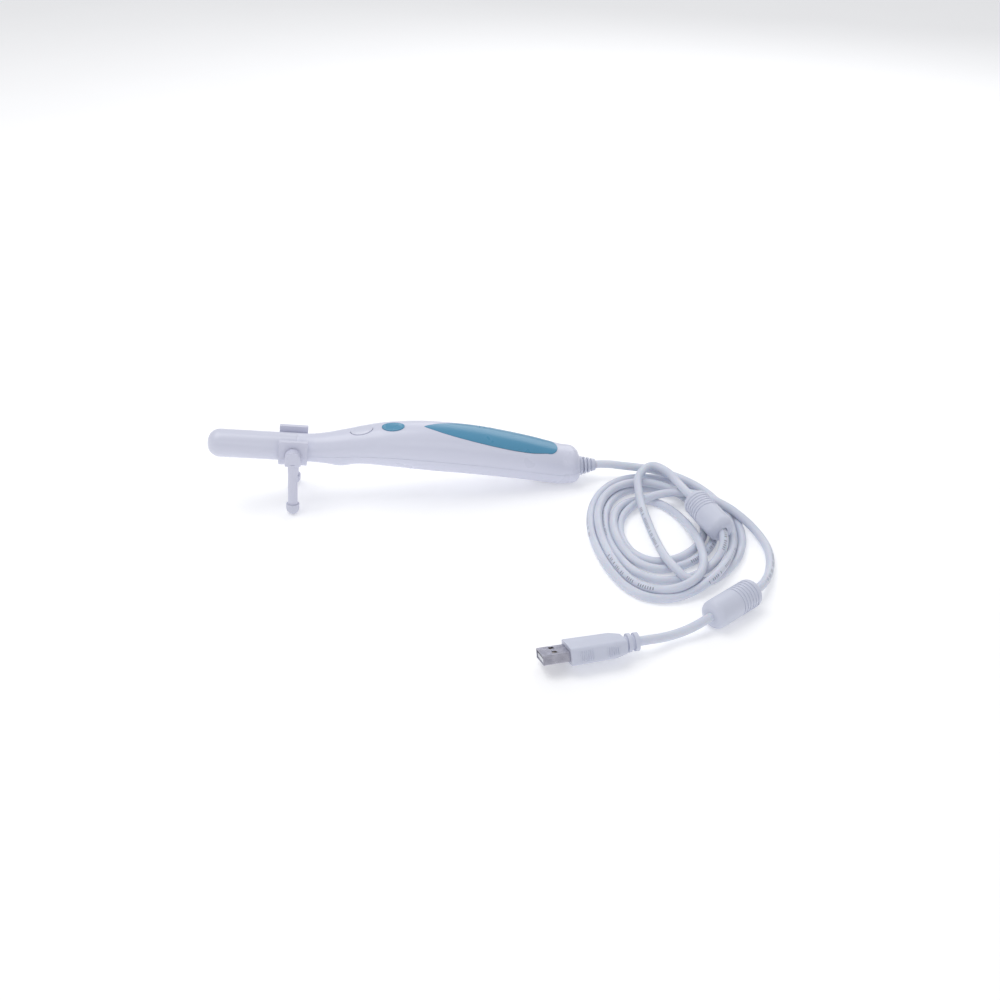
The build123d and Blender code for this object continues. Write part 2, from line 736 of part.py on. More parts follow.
def tube(pts, radius, name):
    radii = arc_radii(pts)
    with BuildPart() as t:
        with BuildLine() as path:
            FilletPolyline(*pts, radius=radii)
        ln = path.wire().length
        d0 = (Vector(*pts[1]) - Vector(*pts[0])).normalized()
        with BuildSketch(Plane(origin=pts[0], z_dir=d0)):
            Circle(radius)
        sweep(path=path.wire())
    vol = t.part.volume
    print(name, "length %.1f" % ln, "volume ratio %.4f" % (vol / (math.pi * radius ** 2 * ln)),
          "radii", [round(q, 1) for q in radii])
    return t.part


# outline of the loose coil on the floor, clockwise from the lead
COIL_OUT = [(128.0, 3.0), (143.0, -7.0), (156.0, -18.5), (164.5, -33.0), (168.5, -50.0),
            (168.0, -67.0), (162.5, -85.0), (152.5, -101.0), (138.5, -112.0), (122.0, -117.5),
            (105.0, -118.2), (95.0, -111.0), (91.0, -97.0), (89.0, -80.0), (87.6, -62.0),
            (88.0, -46.0), (91.5, -31.0), (98.0, -17.5), (106.5, -6.5), (117.0, 0.2)]
COIL_IN = [(124.0, -27.0), (138.0, -37.0), (142.0, -50.0), (143.0, -62.0), (137.0, -71.0),
           (127.0, -79.0), (115.0, -83.0), (107.5, -76.0), (104.5, -62.0), (107.0, -45.0), (113.0, -32.0)]
with BuildPart() as cable_coil:
    with BuildSketch(Plane.XY):
        with BuildLine():
            Spline(*COIL_OUT, periodic=True)
        make_face()
        with BuildLine():
            Spline(*COIL_IN, periodic=True)
        make_face(mode=Mode.SUBTRACT)
    extrude(amount=COIL_H)

LEAD = [(SR_END_X, 0.0, SR_Z), (108.6, 0.0, SR_Z), (116.0, -0.2, 8.6), (122.6, -2.0, 8.4), (128.6, -6.4, 8.7)]
TAIL = [(161.0, -43.0, 5.0), (168.6, -49.2, 3.4), (174.2, -57.6, 2.3), (177.0, -68.5, 2.2),
        (177.2, -80.5, 2.2), (173.6, -92.0, 2.3), (166.8, -103.0, 3.6), (160.0, -111.8, 5.6)]
F1_A = Vector(154.8, -117.9, FERRITE_R + 0.1)     # end facing the coil tail
F1_DIR = Vector(-25.1, -16.5, 0).normalized()
F1_B = F1_A + F1_DIR * FERRITE_LEN
TAIL.append((F1_A.X, F1_A.Y, F1_A.Z))
PLUG_DIR = Vector(-1.0, -0.118, 0).normalized()   # from cable to plug mouth
PLUG_C = Vector(93.4, -147.0, 6.9)                # cable end of the plug
END = [(F1_B.X, F1_B.Y, F1_B.Z), (F1_B.X - 5.6, F1_B.Y - 3.3, 6.6), (F1_B.X - 13.0, F1_B.Y - 5.2, 4.3),
       (F1_B.X - 21.0, F1_B.Y - 7.6, 4.1), (F1_B.X - 29.2, F1_B.Y - 11.2, 6.2), (PLUG_C.X, PLUG_C.Y, PLUG_C.Z)]

with BuildPart() as cable_lead:
    add(tube(LEAD, CABLE_R, "cable_lead"))
    add(cable_coil.part, mode=Mode.SUBTRACT)
cable_lead.part.label = "cable_lead"

with BuildPart() as cable_tail:
    add(tube(TAIL, CABLE_R, "cable_tail"))
    add(cable_coil.part, mode=Mode.SUBTRACT)
cable_tail.part.label = "cable_tail"

with BuildPart() as cable_end:
    add(tube(END, CABLE_R, "cable_end"))
cable_end.part.label = "cable_end"


def ferrite(a, d, length):
    """Sleeve over a bead: returns cover and core, hollow for the cable."""
    side = Vector(0, 0, 1).cross(d)
    with BuildPart() as cover:
        with BuildSketch(Plane(origin=a, x_dir=side, z_dir=d)):
            Circle(FERRITE_R)
        extrude(amount=length)
        fillet(cover.edges().filter_by(GeomType.CIRCLE), 3.4)
        # grip rings round one half
        for k in range(6):
            with BuildSketch(Plane(origin=a + d * (4.2 + 1.9 * k), x_dir=side, z_dir=d)):
                Circle(FERRITE_R + 1.0)
                Circle(FERRITE_R - 0.3, mode=Mode.SUBTRACT)
            extrude(amount=0.7, mode=Mode.SUBTRACT)
        with BuildSketch(Plane(origin=a + d * 3.0, x_dir=side, z_dir=d)):
            Circle(FERRITE_R - 1.3)
        extrude(amount=length - 6.0, mode=Mode.SUBTRACT)
        with BuildSketch(Plane(origin=a, x_dir=side, z_dir=d)):
            Circle(CABLE_R)
        extrude(amount=length, mode=Mode.SUBTRACT)
    with BuildPart() as core:
        with BuildSketch(Plane(origin=a + d * 3.0, x_dir=side, z_dir=d)):
            Circle(FERRITE_R - 1.3)
            Circle(CABLE_R, mode=Mode.SUBTRACT)
        extrude(amount=length - 6.0)
    with BuildPart() as inner:
        with BuildSketch(Plane(origin=a, x_dir=side, z_dir=d)):
            Circle(CABLE_R)
        extrude(amount=length)
    return cover.part, core.part, inner.part


c1, k1, i1 = ferrite(F1_A, F1_DIR, FERRITE_LEN)
with BuildPart() as ferrite_cover_1:
    add(c1)
ferrite_cover_1.part.label = "ferrite_cover_1"
with BuildPart() as ferrite_core_1:
    add(k1)
ferrite_core_1.part.label = "ferrite_core_1"
with BuildPart() as cable_in_ferrite_1:
    add(i1)
cable_in_ferrite_1.part.label = "cable_in_ferrite_1"

F2_A = Vector(144.8, -45.9, 12.4)
F2_DIR = Vector(7.65, -30.0, -0.8).normalized()
c2, k2, i2 = ferrite(F2_A, F2_DIR, FERRITE_LEN)
with BuildPart() as f2_void:
    with BuildSketch(Plane(origin=F2_A - F2_DIR * 0.1, x_dir=Vector(0, 0, 1).cross(F2_DIR), z_dir=F2_DIR)):
        Circle(FERRITE_R + 0.05)
    extrude(amount=FERRITE_LEN + 0.2)
with BuildPart() as ferrite_cover_2:
    add(c2)
ferrite_cover_2.part.label = "ferrite_cover_2"
with BuildPart() as ferrite_core_2:
    add(k2)
ferrite_core_2.part.label = "ferrite_core_2"
with BuildPart() as cable_in_ferrite_2:
    add(i2)
cable_in_ferrite_2.part.label = "cable_in_ferrite_2"
with BuildPart() as coil_final:
    add(cable_coil.part)
    add(f2_void.part, mode=Mode.SUBTRACT)
coil_final.part.label = "cable_coil"

# =============================== plug =======================================
pr = math.radians(PLUG_ROLL)
P_SIDE = Vector(0, 0, 1).cross(PLUG_DIR)          # horizontal across
P_UP = Vector(0, 0, 1) * math.cos(pr) - P_SIDE * math.sin(pr)
P_ACR = P_SIDE * math.cos(pr) + Vector(0, 0, 1) * math.sin(pr)
SRP_L = 6.6


def plug_plane(d):
    return Plane(origin=PLUG_C + PLUG_DIR * d, x_dir=P_ACR, z_dir=PLUG_DIR)


with BuildPart() as plug_overmould:
    with BuildSketch(plug_plane(SRP_L)):
        RectangleRounded(12.2, 6.6, 2.2)
    with BuildSketch(plug_plane(SRP_L + 5.0)):
        RectangleRounded(15.6, PLUG_H, 2.2)
    loft()
    with BuildSketch(plug_plane(SRP_L + 5.0)):
        RectangleRounded(15.6, PLUG_H, 2.2)
    with BuildSketch(plug_plane(SRP_L + PLUG_L)):
        RectangleRounded(PLUG_W, PLUG_H, 1.2)
    loft()
    with BuildSketch(plug_plane(0)):
        Circle(3.1)
    extrude(amount=SRP_L)
    with BuildSketch(plug_plane(0)):
        Circle(4.2)
    extrude(amount=2.0)
    with BuildSketch(plug_plane(3.6)):
        Circle(4.3)
    extrude(amount=1.6)
    with BuildSketch(plug_plane(-0.01)):
        Circle(CABLE_R)
    extrude(amount=16.0, mode=Mode.SUBTRACT)
    with BuildSketch(plug_plane(SRP_L + PLUG_L - 8.0)):
        Rectangle(SHELL_W, SHELL_H)
    extrude(amount=9.0, mode=Mode.SUBTRACT)
plug_overmould.part.label = "plug_overmould"

with BuildPart() as cable_in_plug:
    with BuildSketch(plug_plane(0)):
        Circle(CABLE_R)
    extrude(amount=15.9)
cable_in_plug.part.label = "cable_in_plug"

with BuildPart() as plug_shell:
    with BuildSketch(plug_plane(SRP_L + PLUG_L - 8.0)):
        RectangleRounded(SHELL_W, SHELL_H, 0.4)
        RectangleRounded(SHELL_W - 0.7, SHELL_H - 0.7, 0.2, mode=Mode.SUBTRACT)
    extrude(amount=8.0 + SHELL_L)
    # two latch windows on each wide side
    for sg in (1, -1):
        with BuildSketch(Plane(origin=PLUG_C + PLUG_DIR * (SRP_L + PLUG_L + 6.2) + P_UP * (sg * 1.6),
                               x_dir=PLUG_DIR, z_dir=P_UP * sg)):
            with Locations((0, 2.9), (0, -2.9)):
                Rectangle(2.2, 2.5)
        extrude(amount=2.0, mode=Mode.SUBTRACT)
plug_shell.part.label = "plug_shell"

with BuildPart() as plug_tongue:
    with BuildSketch(Plane(origin=PLUG_C + PLUG_DIR * (SRP_L + PLUG_L - 7.9), x_dir=P_ACR, z_dir=PLUG_DIR)):
        Rectangle(SHELL_W - 0.8, SHELL_H - 0.8)
    extrude(amount=8.0)
    with BuildSketch(Plane(origin=PLUG_C + PLUG_DIR * (SRP_L + PLUG_L) - P_UP * 0.875, x_dir=P_ACR, z_dir=PLUG_DIR)):
        Rectangle(SHELL_W - 0.8, 1.9)
    extrude(amount=SHELL_L - 0.5)
plug_tongue.part.label = "plug_tongue"

with BuildPart() as plug_contacts:
    for y_ in (-3.5, -1.0, 1.0, 3.5):
        with BuildSketch(Plane(origin=PLUG_C + PLUG_DIR * (SRP_L + PLUG_L + 0.6) + P_UP * 0.19 + P_ACR * y_,
                               x_dir=P_ACR, z_dir=PLUG_DIR)):
            Rectangle(1.0, 0.22)
        extrude(amount=10.0)
plug_contacts.part.label = "plug_contacts"

# =============================== export =====================================
ALL = [probe_barrel, window_glass, window_seal, led_board, leds, lens_holder, lens_barrel,
       lens_elements, image_sensor, sensor_board, flex_cable, main_board, video_chip,
       board_components, flex_connector, cable_header, upper_shell, lower_shell, grip_inlay,
       case_screws, board_screws, capture_key, mode_key, capture_plunger, mode_plunger,
       switch_bodies, key_board, strain_relief, cable_core, cable_clamp, clip_saddle,
       leg_near, foot_near, leg_far, foot_far, cable_lead, coil_final, cable_tail, cable_end,
       ferrite_cover_1, ferrite_core_1, cable_in_ferrite_1, ferrite_cover_2, ferrite_core_2,
       cable_in_ferrite_2, plug_overmould, cable_in_plug, plug_shell, plug_tongue, plug_contacts]
for piece in ALL:
    export_step(piece.part, "parts/%s.step" % piece.part.label)
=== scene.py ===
import json
import math

import bmesh
import bpy
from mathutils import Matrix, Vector


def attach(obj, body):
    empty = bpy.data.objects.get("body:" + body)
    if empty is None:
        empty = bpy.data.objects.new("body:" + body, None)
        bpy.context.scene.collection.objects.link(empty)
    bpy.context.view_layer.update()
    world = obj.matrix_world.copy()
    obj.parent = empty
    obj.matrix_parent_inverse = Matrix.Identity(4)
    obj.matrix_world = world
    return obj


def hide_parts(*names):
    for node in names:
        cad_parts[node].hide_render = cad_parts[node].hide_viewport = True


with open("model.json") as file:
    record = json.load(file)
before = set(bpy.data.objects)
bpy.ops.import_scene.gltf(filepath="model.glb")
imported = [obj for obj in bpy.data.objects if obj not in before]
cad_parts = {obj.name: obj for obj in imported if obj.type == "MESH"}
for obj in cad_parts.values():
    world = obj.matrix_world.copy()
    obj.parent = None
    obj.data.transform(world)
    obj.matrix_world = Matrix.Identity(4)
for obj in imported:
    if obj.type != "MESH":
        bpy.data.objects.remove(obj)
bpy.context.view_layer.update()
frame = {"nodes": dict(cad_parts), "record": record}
NODES = frame["nodes"]
scene = bpy.context.scene

# ---------------------------------------------------------------- camera
cam_data = bpy.data.cameras.new("camera")
cam_data.sensor_width = 36.0
cam_data.lens = 42.62
cam_data.clip_start = 0.01
cam_data.clip_end = 20.0
cam = bpy.data.objects.new("camera", cam_data)
scene.collection.objects.link(cam)
cam.location = (-0.015217, -0.541140, 0.343831)
aim = Vector((0.047931, -0.015467, 0.0)) - Vector(cam.location)
cam.rotation_euler = aim.to_track_quat("-Z", "Y").to_euler()
scene.camera = cam

# ---------------------------------------------------------------- the cable
# Route of the whole cable, in millimetres: out of the strain relief, over
# the other turns, five loose turns, through the small ferrite, and out
# through the large ferrite to the plug.
CABLE_D = 4.3
ROUTE = [
    (101.72, -0.01, 8.96), (107.23, 0.33, 8.97), (117.82, -2.44, 8.31), (128.36, -5.67, 8.16), (138.05, -11.04, 7.83),
    (146.79, -17.72, 7.10), (154.13, -25.97, 6.05), (159.16, -35.80, 5.08), (161.51, -46.58, 4.03), (161.52, -57.63, 3.98),
    (159.74, -68.53, 4.27), (156.47, -79.05, 4.86), (151.59, -88.90, 5.88), (145.42, -98.06, 6.58), (137.52, -105.79, 5.60),
    (127.87, -110.80, 3.29), (117.12, -113.27, 2.22), (105.98, -111.00, 2.24), (98.33, -102.69, 2.22), (94.38, -92.35, 2.22),
    (91.85, -81.62, 2.22), (90.39, -70.67, 2.22), (89.91, -59.66, 2.22), (90.62, -48.64, 2.22), (92.72, -37.80, 2.22),
    (96.37, -27.37, 2.22), (101.84, -17.75, 2.22), (109.57, -9.77, 2.22), (119.86, -5.27, 2.22), (131.04, -6.10, 2.22),
    (141.14, -10.69, 2.22), (149.93, -17.41, 2.22), (157.10, -25.83, 2.22), (162.42, -35.54, 2.22), (165.44, -46.19, 2.22),
    (166.27, -57.22, 2.22), (164.87, -68.21, 2.22), (161.20, -78.61, 2.24), (155.51, -88.16, 2.22), (147.98, -96.14, 2.42),
    (138.80, -102.63, 2.22), (127.52, -103.46, 4.91), (122.02, -93.12, 6.87), (120.33, -82.42, 6.13), (119.52, -71.36, 5.83),
    (119.24, -60.36, 5.62), (119.12, -49.35, 6.12), (118.85, -38.33, 7.31), (119.91, -27.59, 8.87), (121.47, -16.59, 10.44),
    (130.78, -8.71, 12.93), (137.93, -19.55, 13.31), (140.12, -29.72, 12.91), (143.40, -40.52, 12.50), (146.20, -51.10, 12.33),
    (148.64, -61.80, 11.81), (152.19, -72.55, 12.13), (150.90, -82.26, 8.99), (144.49, -90.77, 4.85), (135.15, -96.12, 2.40),
    (124.53, -99.30, 2.22), (113.24, -98.53, 2.22), (104.75, -90.96, 2.22), (100.47, -80.71, 2.22), (98.29, -69.89, 2.22),
    (97.82, -58.85, 2.22), (98.47, -47.84, 2.22), (100.67, -37.00, 2.22), (105.30, -26.92, 2.22), (113.27, -19.04, 2.22),
    (124.08, -15.82, 2.22), (135.05, -18.23, 2.22), (144.11, -24.73, 2.22), (150.27, -34.00, 2.22), (153.42, -44.64, 2.22),
    (153.74, -55.72, 2.22), (151.07, -66.50, 2.22), (145.48, -76.07, 2.22), (137.34, -83.68, 2.22), (127.58, -88.76, 2.23),
    (116.25, -90.25, 2.22), (106.78, -83.89, 2.79), (102.49, -73.58, 4.29), (100.90, -62.74, 5.09), (101.49, -51.64, 4.93),
    (104.66, -41.07, 4.24), (110.66, -31.77, 3.08), (121.21, -26.81, 2.22), (131.48, -32.33, 2.22), (136.79, -42.16, 2.22),
    (139.58, -52.79, 3.05), (140.50, -63.71, 4.65), (140.54, -74.56, 6.24), (139.59, -85.58, 6.49), (136.91, -96.25, 7.31),
    (131.25, -105.90, 7.49), (121.08, -111.01, 6.35), (110.13, -108.47, 4.12), (102.58, -100.23, 2.85), (98.22, -90.05, 2.78),
    (95.71, -79.31, 3.18), (94.22, -68.39, 3.71), (93.91, -57.36, 4.01), (94.80, -46.36, 4.18), (97.24, -35.58, 4.43),
    (102.21, -25.67, 5.01), (110.63, -18.28, 6.01), (121.68, -16.09, 6.54), (132.43, -19.26, 6.08), (141.00, -26.30, 5.04),
    (146.66, -35.78, 3.68), (149.13, -46.57, 2.59), (148.22, -57.62, 2.22), (144.13, -67.98, 2.22), (136.83, -76.37, 2.22),
    (127.59, -82.40, 2.22), (116.12, -83.95, 2.22), (107.36, -76.43, 2.22), (104.37, -65.61, 2.22), (104.34, -54.58, 2.23),
    (107.38, -43.88, 2.22), (114.07, -34.85, 2.81), (124.09, -30.58, 5.53), (134.98, -30.45, 7.74), (145.40, -34.13, 9.11),
    (154.41, -40.58, 9.31), (162.29, -48.26, 8.23), (168.82, -56.78, 5.66), (173.42, -66.58, 3.18), (174.91, -77.55, 2.22),
    (173.12, -88.51, 2.22), (169.25, -98.81, 2.90), (163.89, -108.34, 4.67), (157.14, -116.68, 6.85), (147.70, -122.52, 7.20),
    (138.53, -128.51, 6.96), (129.36, -134.90, 7.38), (119.51, -139.16, 5.08), (108.83, -141.78, 3.78), (98.89, -146.22, 6.68),
    (93.37, -146.92, 6.81),
]


def centreline(points_mm, resolution=10):
    """Points of the route's own smooth spline, in metres."""
    data = bpy.data.curves.new("route", "CURVE")
    data.dimensions = "3D"
    data.resolution_u = resolution
    line = data.splines.new("NURBS")
    line.points.add(len(points_mm) - 1)
    for p, (x, y, z) in zip(line.points, points_mm):
        p.co = (x / 1000.0, y / 1000.0, z / 1000.0, 1.0)
    line.order_u = 3
    line.use_endpoint_u = True
    ob = bpy.data.objects.new("route", data)
    scene.collection.objects.link(ob)
    bpy.context.view_layer.update()
    me = bpy.data.meshes.new_from_object(ob.evaluated_get(bpy.context.evaluated_depsgraph_get()))
    pts = [Vector(v.co) for v in me.vertices]
    bpy.data.meshes.remove(me)
    bpy.data.objects.remove(ob)
    bpy.data.curves.remove(data)
    out = [pts[0]]
    for p in pts[1:]:
        if (p - out[-1]).length > 1e-6:
            out.append(p)
    return out


def tube_mesh(name, path, radius, around=24):
    """Round jacket along the path, with u along it and v around it, closed at both ends."""
    n = len(path)
    tangents = []
    for i in range(n):
        tangents.append((path[min(i + 1, n - 1)] - path[max(i - 1, 0)]).normalized())
    side = Vector((0.0, 0.0, 1.0)).cross(tangents[0]).normalized()
    verts, along = [], [0.0]
    for i in range(1, n):
        along.append(along[-1] + (path[i] - path[i - 1]).length)
    for i in range(n):
        side = (side - tangents[i] * side.dot(tangents[i])).normalized()
        up = tangents[i].cross(side)
        for k in range(around):
            a = 2 * math.pi * k / around
            verts.append(path[i] + side * math.cos(a) * radius + up * math.sin(a) * radius)
    faces, uvs = [], []
    for i in range(n - 1):
        for k in range(around):
            k2 = (k + 1) % around
            faces.append((i * around + k, i * around + k2, (i + 1) * around + k2, (i + 1) * around + k))
            u0, u1 = along[i] / along[-1], along[i + 1] / along[-1]
            v0, v1 = k / around, (k + 1) / around
            uvs.append(((u0, v0), (u0, v1), (u1, v1), (u1, v0)))
    faces.append(tuple(range(around)))
    uvs.append(tuple((0.0, 0.0) for _ in range(around)))
    faces.append(tuple((n - 1) * around + k for k in range(around))[::-1])
    uvs.append(tuple((1.0, 0.0) for _ in range(around)))
    me = bpy.data.meshes.new(name)
    me.from_pydata([tuple(v) for v in verts], [], faces)
    layer = me.uv_layers.new(name="UVMap")
    i = 0
    for f in uvs:
        for uv in f:
            layer.data[i].uv = uv
            i += 1
    for p in me.polygons:
        p.use_smooth = len(p.vertices) == 4
    bm = bmesh.new()
    bm.from_mesh(me)
    bmesh.ops.recalc_face_normals(bm, faces=bm.faces)
    bm.to_mesh(me)
    bm.free()
    ob = bpy.data.objects.new(name, me)
    scene.collection.objects.link(ob)
    return ob, along[-1]


PATH = centreline(ROUTE)
cable, CABLE_LENGTH = tube_mesh("cable", PATH, CABLE_D / 2000.0)
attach(cable, "handpiece")
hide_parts("cable_lead", "cable_coil", "cable_tail", "cable_end",
            "cable_in_ferrite_1", "cable_in_ferrite_2")


# ---------------------------------------------------------------- materials
def srgb(r, g, b):
    out = []
    for c in (r, g, b):
        c = c / 255.0
        out.append(c / 12.92 if c <= 0.04045 else ((c + 0.055) / 1.055) ** 2.4)
    return tuple(out) + (1.0,)


def mat_base(name):
    m = bpy.data.materials.new(name)
    m.use_nodes = True
    nt = m.node_tree
    bsdf = nt.nodes["Principled BSDF"]
    tc = nt.nodes.new("ShaderNodeTexCoord")
    return m, nt, bsdf, tc


def noise(nt, vec, scale, detail=3.0, rough=0.5):
    n = nt.nodes.new("ShaderNodeTexNoise")
    n.inputs["Scale"].default_value = scale
    n.inputs["Detail"].default_value = detail
    n.inputs["Roughness"].default_value = rough
    nt.links.new(vec, n.inputs["Vector"])
    return n.outputs["Fac"]


def maprange(nt, src, lo, hi, a, b):
    m = nt.nodes.new("ShaderNodeMapRange")
    m.inputs["From Min"].default_value = lo
    m.inputs["From Max"].default_value = hi
    m.inputs["To Min"].default_value = a
    m.inputs["To Max"].default_value = b
    nt.links.new(src, m.inputs["Value"])
    return m.outputs["Result"]


def math_node(nt, op, a, b=None):
    n = nt.nodes.new("ShaderNodeMath")
    n.operation = op
    for i, v in enumerate((a, b)):
        if v is None:
            continue
        if isinstance(v, (int, float)):
            n.inputs[i].default_value = v
        else:
            nt.links.new(v, n.inputs[i])
    return n.outputs[0]


def mix(nt, fac, a, b):
    n = nt.nodes.new("ShaderNodeMix")
    n.data_type = "RGBA"
    if isinstance(fac, (int, float)):
        n.inputs[0].default_value = fac
    else:
        nt.links.new(fac, n.inputs[0])
    for i, v in ((6, a), (7, b)):
        if isinstance(v, tuple):
            n.inputs[i].default_value = v
        else:
            nt.links.new(v, n.inputs[i])
    return n.outputs[2]


def bump(nt, height, strength, distance, normal=None):
    n = nt.nodes.new("ShaderNodeBump")
    n.inputs["Strength"].default_value = strength
    n.inputs["Distance"].default_value = distance
    nt.links.new(height, n.inputs["Height"])
    if normal is not None:
        nt.links.new(normal, n.inputs["Normal"])
    return n.outputs["Normal"]


def plastic(name, colour, dark, rough=(0.26, 0.36), grain=1400.0, grain_bump=0.12,
            wave=16.0, wave_bump=0.0, coat=0.0, spec=0.5, sss=0.0, wear=None):
    """Moulded plastic: a slight drift of colour, a fine mould grain and a faint sink of the surface."""
    m, nt, bsdf, tc = mat_base(name)
    vec = tc.outputs["Object"]
    drift = noise(nt, vec, wave, 2.0)
    col = mix(nt, maprange(nt, drift, 0.2, 0.8, 0.0, 1.0), colour, dark)
    if wear is not None:
        geo = nt.nodes.new("ShaderNodeNewGeometry")
        edge = maprange(nt, geo.outputs["Pointiness"], 0.52, 0.60, 0.0, 0.55)
        broken = math_node(nt, "MULTIPLY", edge, maprange(nt, noise(nt, vec, 420.0, 4.0), 0.42, 0.62, 0.0, 1.0))
        col = mix(nt, broken, col, wear)
    nt.links.new(col, bsdf.inputs["Base Color"])
    fine = noise(nt, vec, grain, 2.0)
    smudge = noise(nt, vec, 60.0, 3.0, 0.5)
    nt.links.new(maprange(nt, smudge, 0.3, 0.7, rough[0], rough[1]), bsdf.inputs["Roughness"])
    n1 = bump(nt, drift, wave_bump, 0.0001)
    nt.links.new(bump(nt, fine, grain_bump, 0.00002, n1), bsdf.inputs["Normal"])
    bsdf.inputs["Specular IOR Level"].default_value = spec
    bsdf.inputs["Coat Weight"].default_value = coat
    bsdf.inputs["Coat Roughness"].default_value = 0.12
    if sss:
        bsdf.inputs["Subsurface Weight"].default_value = sss
        bsdf.inputs["Subsurface Scale"].default_value = 0.0012
        bsdf.inputs["Subsurface Radius"].default_value = (1.0, 0.9, 0.9)
    return m


def metal(name, colour, dark, rough=(0.22, 0.42), stretch=(1.0, 1.0, 1.0)):
    """Plated or brushed metal with fine drawn lines and cloudy tarnish."""
    m, nt, bsdf, tc = mat_base(name)
    mp = nt.nodes.new("ShaderNodeMapping")
    mp.inputs["Scale"].default_value = stretch
    nt.links.new(tc.outputs["Object"], mp.inputs["Vector"])
    line = noise(nt, mp.outputs["Vector"], 2200.0, 3.0)
    cloud = noise(nt, tc.outputs["Object"], 260.0, 4.0)
    nt.links.new(mix(nt, maprange(nt, cloud, 0.35, 0.7, 0.0, 1.0), colour, dark), bsdf.inputs["Base Color"])
    nt.links.new(maprange(nt, line, 0.3, 0.7, rough[0], rough[1]), bsdf.inputs["Roughness"])
    nt.links.new(bump(nt, line, 0.16, 0.00003), bsdf.inputs["Normal"])
    bsdf.inputs["Metallic"].default_value = 1.0
    return m


def cable_material(name, along_m, marks=True):
    """Soft PVC jacket; the jacket carries a line of small plain ticks along part of it."""
    m, nt, bsdf, tc = mat_base(name)
    vec = tc.outputs["Object"]
    drift = noise(nt, vec, 70.0, 3.0)
    col = mix(nt, maprange(nt, drift, 0.3, 0.7, 0.0, 1.0), srgb(217, 221, 233), srgb(207, 212, 226))
    fine = noise(nt, vec, 1700.0, 3.0)
    if marks:
        sep = nt.nodes.new("ShaderNodeSeparateXYZ")
        nt.links.new(tc.outputs["UV"], sep.inputs["Vector"])
        u, v = sep.outputs["X"], sep.outputs["Y"]
        # fine ticks 0.45 mm wide on a 1.25 mm pitch, broken into uneven groups
        def frac(x, pitch):
            return math_node(nt, "FRACT", math_node(nt, "MULTIPLY", x, along_m / pitch))
        cell = math_node(nt, "FLOOR", math_node(nt, "MULTIPLY", u, along_m / 0.00125))
        wn = nt.nodes.new("ShaderNodeTexWhiteNoise")
        wn.noise_dimensions = "1D"
        nt.links.new(cell, wn.inputs["W"])
        tick = math_node(nt, "LESS_THAN", frac(u, 0.00125), 0.46)
        keep = math_node(nt, "GREATER_THAN", wn.outputs["Value"], 0.22)
        group = math_node(nt, "LESS_THAN", frac(u, 0.118), 0.30)
        band = math_node(nt, "LESS_THAN", math_node(nt, "ABSOLUTE", math_node(nt, "SUBTRACT", math_node(nt, "FRACT", math_node(nt, "ADD", v, 0.40)), 0.5)), 0.055)
        ink = math_node(nt, "MULTIPLY", math_node(nt, "MULTIPLY", tick, keep), math_node(nt, "MULTIPLY", group, band))
        soft = math_node(nt, "MULTIPLY", ink, maprange(nt, noise(nt, vec, 900.0, 2.0), 0.3, 0.6, 0.35, 0.75))
        col = mix(nt, soft, col, srgb(96, 100, 116))
    nt.links.new(col, bsdf.inputs["Base Color"])
    nt.links.new(maprange(nt, noise(nt, vec, 150.0, 4.0), 0.3, 0.7, 0.36, 0.50), bsdf.inputs["Roughness"])
    n1 = bump(nt, drift, 0.03, 0.0002)
    nt.links.new(bump(nt, fine, 0.16, 0.00004, n1), bsdf.inputs["Normal"])
    bsdf.inputs["Subsurface Weight"].default_value = 0.12
    bsdf.inputs["Subsurface Scale"].default_value = 0.0012
    bsdf.inputs["Specular IOR Level"].default_value = 0.45
    return m


